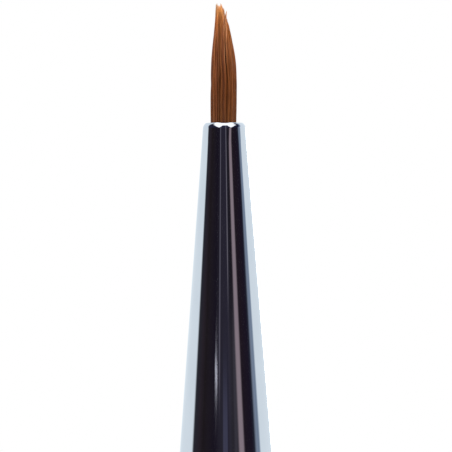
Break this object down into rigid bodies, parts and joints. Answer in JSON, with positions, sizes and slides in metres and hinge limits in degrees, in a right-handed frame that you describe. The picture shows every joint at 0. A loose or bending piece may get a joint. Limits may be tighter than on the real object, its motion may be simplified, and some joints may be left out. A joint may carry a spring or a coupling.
{
  "type": "fine detail brush",
  "caption": "Fine detail brush: pointed natural-hair tuft in a conical plated ferrule on a short turned and lacquered handle; the tuft flexes.",
  "frame": {"origin": "middle of the cylindrical grip on the handle, on the brush's axis", "axes": "+Z along the brush towards the point of the tuft, +X to the right and -Y towards the viewer"},
  "size_m": [0.0064, 0.0064, 0.1516],
  "materials": {
    "hair": "smooth natural hair, brown at the root and orange at the point",
    "ferrule_plating": "polished nickel plating on brass",
    "handle_lacquer": "gloss lacquer",
    "tail_dip": "gloss dipped coat",
    "handle_wood": "bare turned birch",
    "binding_thread": "waxed thread",
    "root_cement": "hardened amber cement",
    "glue": "dried wood glue"
  },
  "bodies": {
    "handle": {"handle_wood": "handle_wood", "handle_lacquer": "handle_lacquer", "tail_dip": "tail_dip", "ferrule": "ferrule_plating", "ferrule_glue": "glue", "hair_root_bundle": "hair", "binding_thread": "binding_thread", "root_cement": "root_cement", "hair_base_front_left": "hair", "hair_base_front_right": "hair", "hair_base_back_left": "hair", "hair_base_back_right": "hair"},
    "tuft_belly": {"hair_belly_front_left": "hair", "hair_belly_front_right": "hair", "hair_belly_back_left": "hair", "hair_belly_back_right": "hair"},
    "tuft_tip": {"hair_tip_front_left": "hair", "hair_tip_front_right": "hair", "hair_tip_back_left": "hair", "hair_tip_back_right": "hair"}
  },
  "joints": [
    {"name": "tuft_bend_side", "type": "hinge", "parent": "handle", "child": "tuft_belly", "pos_m": [0, 0, 0.04905], "axis": [0, 1, 0], "range_deg": [-35, 35], "stiffness_Nm_per_rad": 0.00006},
    {"name": "tuft_bend_front", "type": "hinge", "parent": "tuft_belly", "child": "tuft_tip", "pos_m": [0, 0, 0.05095], "axis": [1, 0, 0], "range_deg": [-35, 35], "stiffness_Nm_per_rad": 0.00002}
  ]
}
